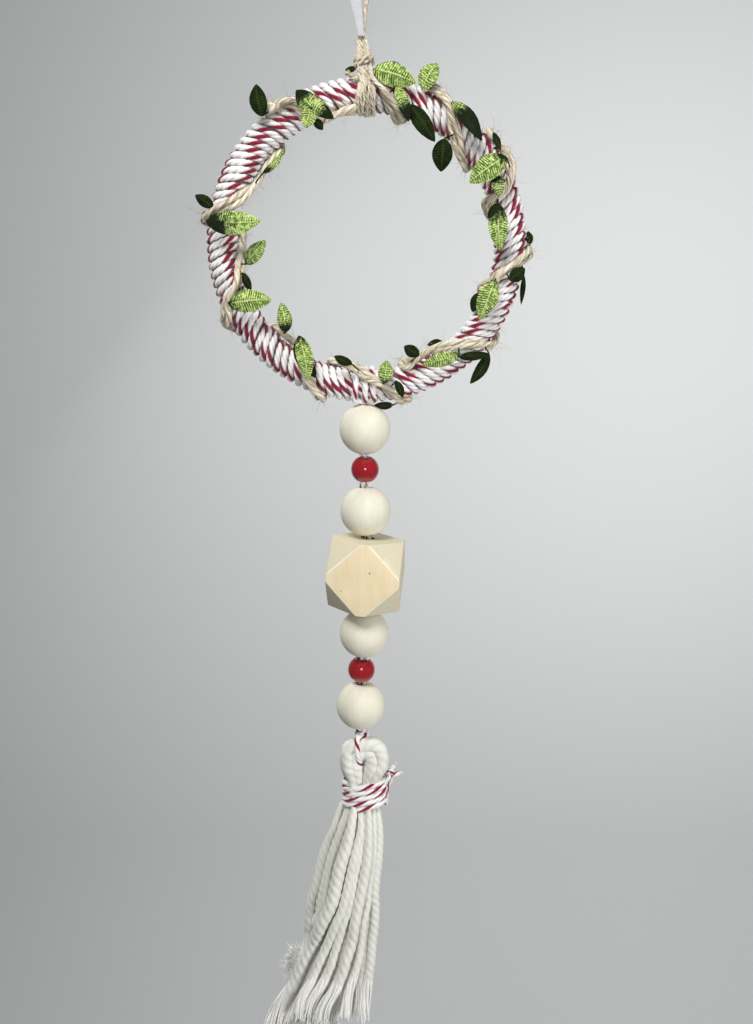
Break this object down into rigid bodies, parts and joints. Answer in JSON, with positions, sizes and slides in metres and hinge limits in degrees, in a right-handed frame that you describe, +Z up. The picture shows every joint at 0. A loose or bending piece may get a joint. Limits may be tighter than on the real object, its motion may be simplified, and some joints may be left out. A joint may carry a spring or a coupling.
{
  "type": "wooden bead ornament",
  "caption": "Hanging ornament: a ring wrapped in red and white twine with a leafy jute garland, over a string of wooden and red beads and a white cotton tassel.",
  "frame": {"origin": "inside top of the hanging loop, where a hook or a nail carries the ornament", "axes": "+Z up, -Y towards the viewer (the front, with most of the leaves), +X to the viewer's right"},
  "size_m": [0.1259, 0.0361, 0.4251],
  "materials": {
    "red_white_twine": "matt cotton twine, one red ply",
    "jute": "rough, hairy twine",
    "leaf_satin": "satin with veins pressed in",
    "bare_wood": "sanded, unvarnished",
    "red_lacquer": "gloss",
    "white_cotton": "matt, loosely twisted",
    "bare_label": "smooth and blank"
  },
  "bodies": {
    "root": {"hanging_loop": "jute", "label_strip": "bare_label", "hanger_knot": "jute", "hanger_wrap": "jute", "twine_wrapped_ring": "red_white_twine", "jute_garland_cord": "jute", "leaf_01": "leaf_satin", "leaf_02": "leaf_satin", "leaf_03": "leaf_satin", "leaf_04": "leaf_satin", "leaf_05": "leaf_satin", "leaf_06": "leaf_satin", "leaf_07": "leaf_satin", "leaf_08": "leaf_satin", "leaf_09": "leaf_satin", "leaf_10": "leaf_satin", "leaf_11": "leaf_satin", "leaf_12": "leaf_satin", "leaf_13": "leaf_satin", "leaf_14": "leaf_satin", "leaf_15": "leaf_satin", "leaf_16": "leaf_satin", "leaf_17": "leaf_satin", "leaf_18": "leaf_satin", "leaf_19": "leaf_satin", "leaf_20": "leaf_satin", "leaf_21": "leaf_satin", "leaf_22": "leaf_satin", "leaf_23": "leaf_satin", "leaf_24": "leaf_satin", "leaf_25": "leaf_satin", "leaf_26": "leaf_satin", "leaf_27": "leaf_satin", "leaf_28": "leaf_satin", "leaf_29": "leaf_satin", "leaf_30": "leaf_satin", "leaf_31": "leaf_satin", "leaf_32": "leaf_satin", "leaf_33": "leaf_satin", "leaf_34": "leaf_satin", "leaf_35": "leaf_satin", "leaf_36": "leaf_satin", "leaf_37": "leaf_satin", "leaf_38": "leaf_satin", "leaf_39": "leaf_satin", "leaf_40": "leaf_satin", "leaf_41": "leaf_satin", "bead_string": "red_white_twine", "wood_bead_1": "bare_wood", "red_bead_1": "red_lacquer", "wood_bead_2": "bare_wood", "faceted_bead": "bare_wood", "wood_bead_3": "bare_wood", "red_bead_2": "red_lacquer", "wood_bead_4": "bare_wood", "string_knot": "red_white_twine", "tassel_cords": "white_cotton", "tassel_binding": "red_white_twine", "binding_knot": "red_white_twine"}
  },
  "joints": []
}
